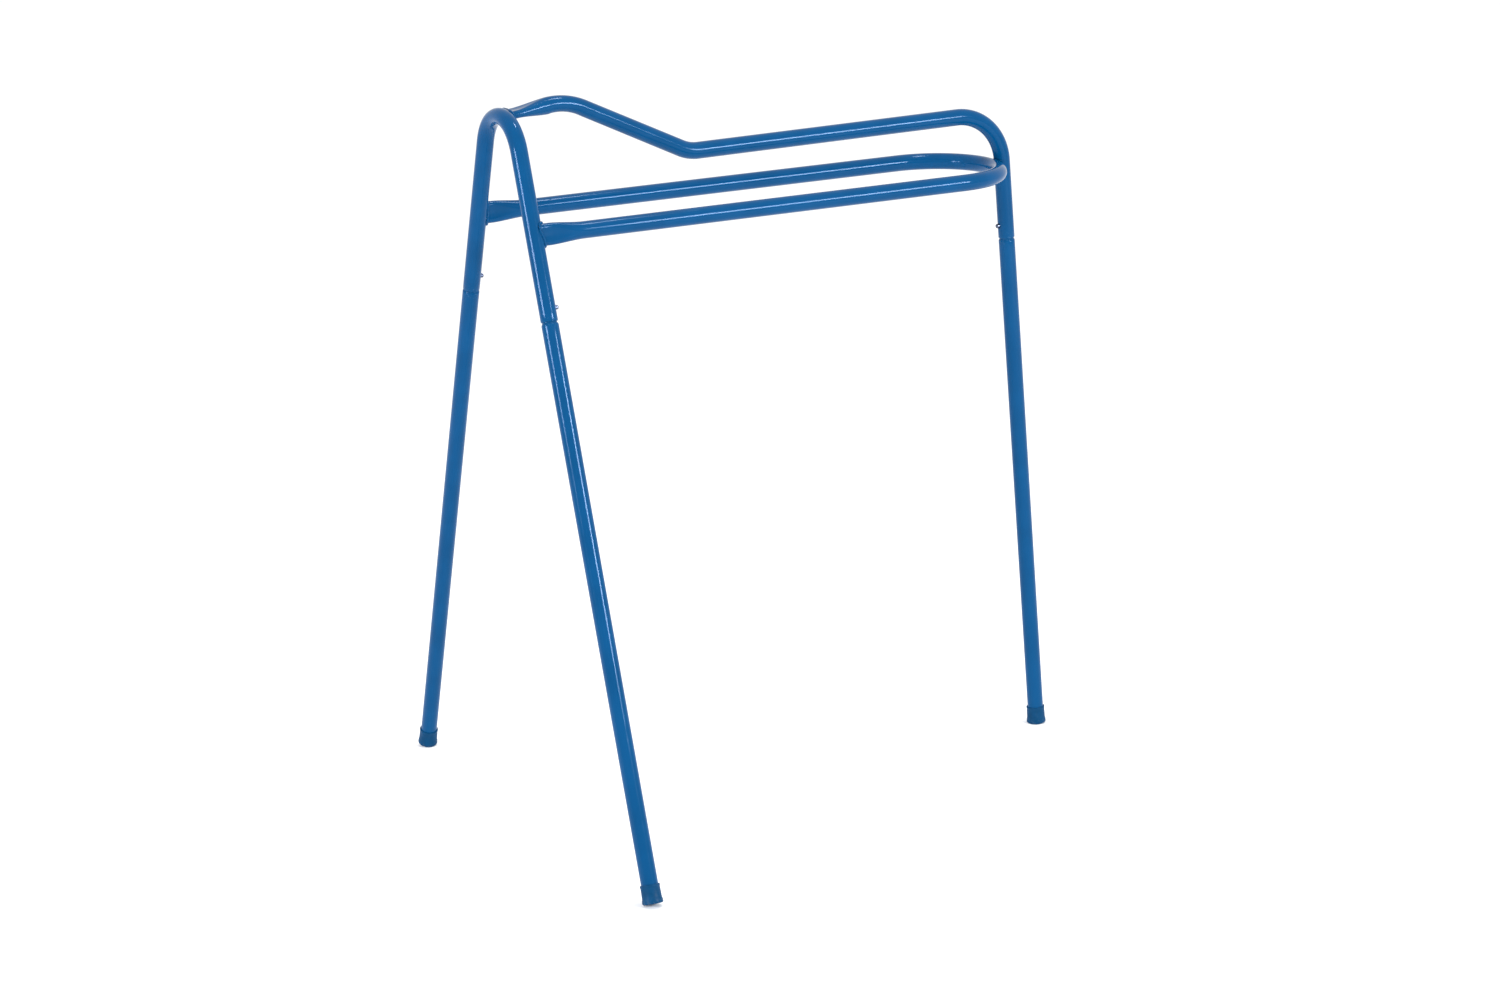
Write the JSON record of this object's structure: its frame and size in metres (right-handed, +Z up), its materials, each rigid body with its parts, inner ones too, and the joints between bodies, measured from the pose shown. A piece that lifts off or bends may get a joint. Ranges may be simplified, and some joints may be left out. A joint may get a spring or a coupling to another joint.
{
  "type": "saddle stand",
  "caption": "Take-apart three-legged stand of bent steel tube that holds a riding saddle on a humped top rail and a side loop.",
  "frame": {"origin": "on the floor under the middle of the stand", "axes": "+X from the front arch to the rear leg, +Y to the rider's right, +Z up"},
  "size_m": [0.7962, 0.7502, 0.9511],
  "materials": {
    "powder_coat": "gloss powder coat on steel tube, fine orange peel",
    "foot_cap": "dark blue moulded plastic, low gloss, scuffed under the foot",
    "button": "dark zinc-plated pressed steel",
    "spring": "bare spring steel strip"
  },
  "bodies": {
    "head": {"front_arch": "powder_coat", "top_rail": "powder_coat", "side_loop": "powder_coat", "weld_crown": "powder_coat", "weld_left": "powder_coat", "weld_right": "powder_coat", "weld_rear": "powder_coat"},
    "leg_left": {"leg_left": "powder_coat", "foot_cap_left": "foot_cap", "spring_left": "spring"},
    "leg_right": {"leg_right": "powder_coat", "foot_cap_right": "foot_cap", "spring_right": "spring"},
    "leg_rear": {"leg_rear": "powder_coat", "foot_cap_rear": "foot_cap", "spring_rear": "spring"},
    "button_left": {"button_left": "button"},
    "button_right": {"button_right": "button"},
    "button_rear": {"button_rear": "button"}
  },
  "joints": [
    {"name": "leg_left_pull", "type": "slide", "parent": "head", "child": "leg_left", "axis": [0, -0.3289, -0.9444], "range_m": [0, 0.15]},
    {"name": "leg_right_pull", "type": "slide", "parent": "head", "child": "leg_right", "axis": [0, 0.3289, -0.9444], "range_m": [0, 0.15]},
    {"name": "leg_rear_pull", "type": "slide", "parent": "head", "child": "leg_rear", "axis": [0.0567, 0, -0.9984], "range_m": [0, 0.15]},
    {"name": "button_left_press", "type": "slide", "parent": "leg_left", "child": "button_left", "axis": [-1, 0, 0], "range_m": [0, 0.006], "stiffness_N_per_m": 500, "springref_m": -0.006, "deforming": ["spring_left"]},
    {"name": "button_right_press", "type": "slide", "parent": "leg_right", "child": "button_right", "axis": [-1, 0, 0], "range_m": [0, 0.006], "stiffness_N_per_m": 500, "springref_m": -0.006, "deforming": ["spring_right"]},
    {"name": "button_rear_press", "type": "slide", "parent": "leg_rear", "child": "button_rear", "axis": [0.9984, 0, 0.0567], "range_m": [0, 0.006], "stiffness_N_per_m": 500, "springref_m": -0.006, "deforming": ["spring_rear"]}
  ]
}
